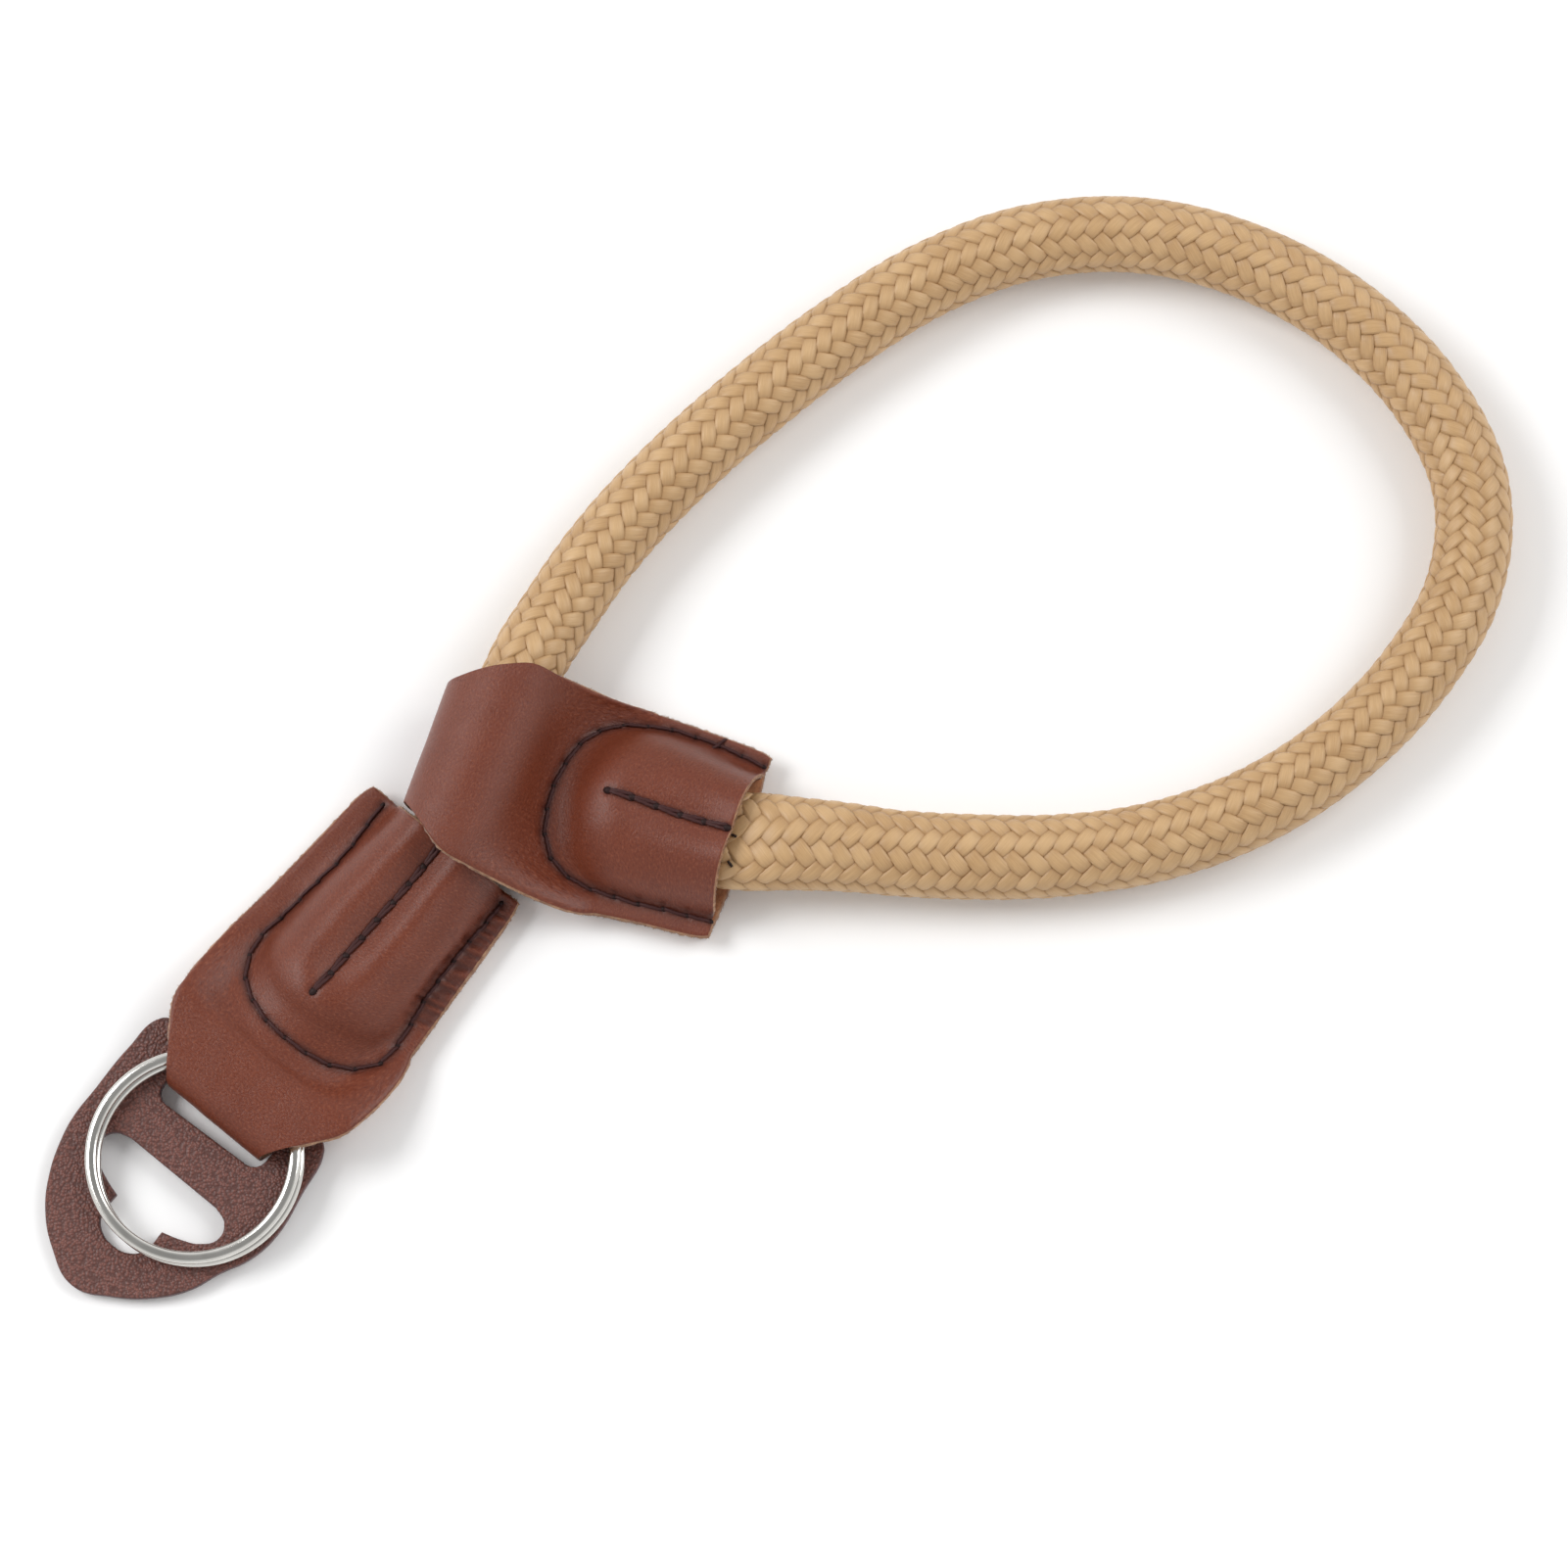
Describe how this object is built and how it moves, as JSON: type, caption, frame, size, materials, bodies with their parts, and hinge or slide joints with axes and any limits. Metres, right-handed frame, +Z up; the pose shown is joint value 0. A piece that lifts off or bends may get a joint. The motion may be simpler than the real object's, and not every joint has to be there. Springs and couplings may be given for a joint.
{
  "type": "camera wrist strap",
  "caption": "Rope wrist loop with a leather slider and a stitched leather tab that holds a split ring and a slotted pad for a camera's strap lug.",
  "frame": {"origin": "middle of the tab's flat underside, on the surface that the strap lies on", "axes": "+X along the tab from the ring to the rope, +Y across the tab, +Z up"},
  "size_m": [0.2076, 0.1019, 0.0136],
  "materials": {
    "rope_fabric": "glossy tan herringbone braid",
    "strip_leather": "smooth satin brown with raw edges",
    "pad_leather": "dark brown pebble grain",
    "polished_steel": "bright nickel plate"
  },
  "bodies": {
    "root": {"wrist_rope": "rope_fabric", "ring_tab": "strip_leather", "rope_slider": "strip_leather", "lug_pad": "pad_leather"},
    "ring": {"split_ring": "polished_steel"}
  },
  "joints": [
    {"name": "ring_turn", "type": "hinge", "parent": "root", "child": "ring", "pos_m": [-0.02803, -0.0012, 0.00395], "axis": [-0.0569, 0, 0.9984], "continuous": true}
  ]
}
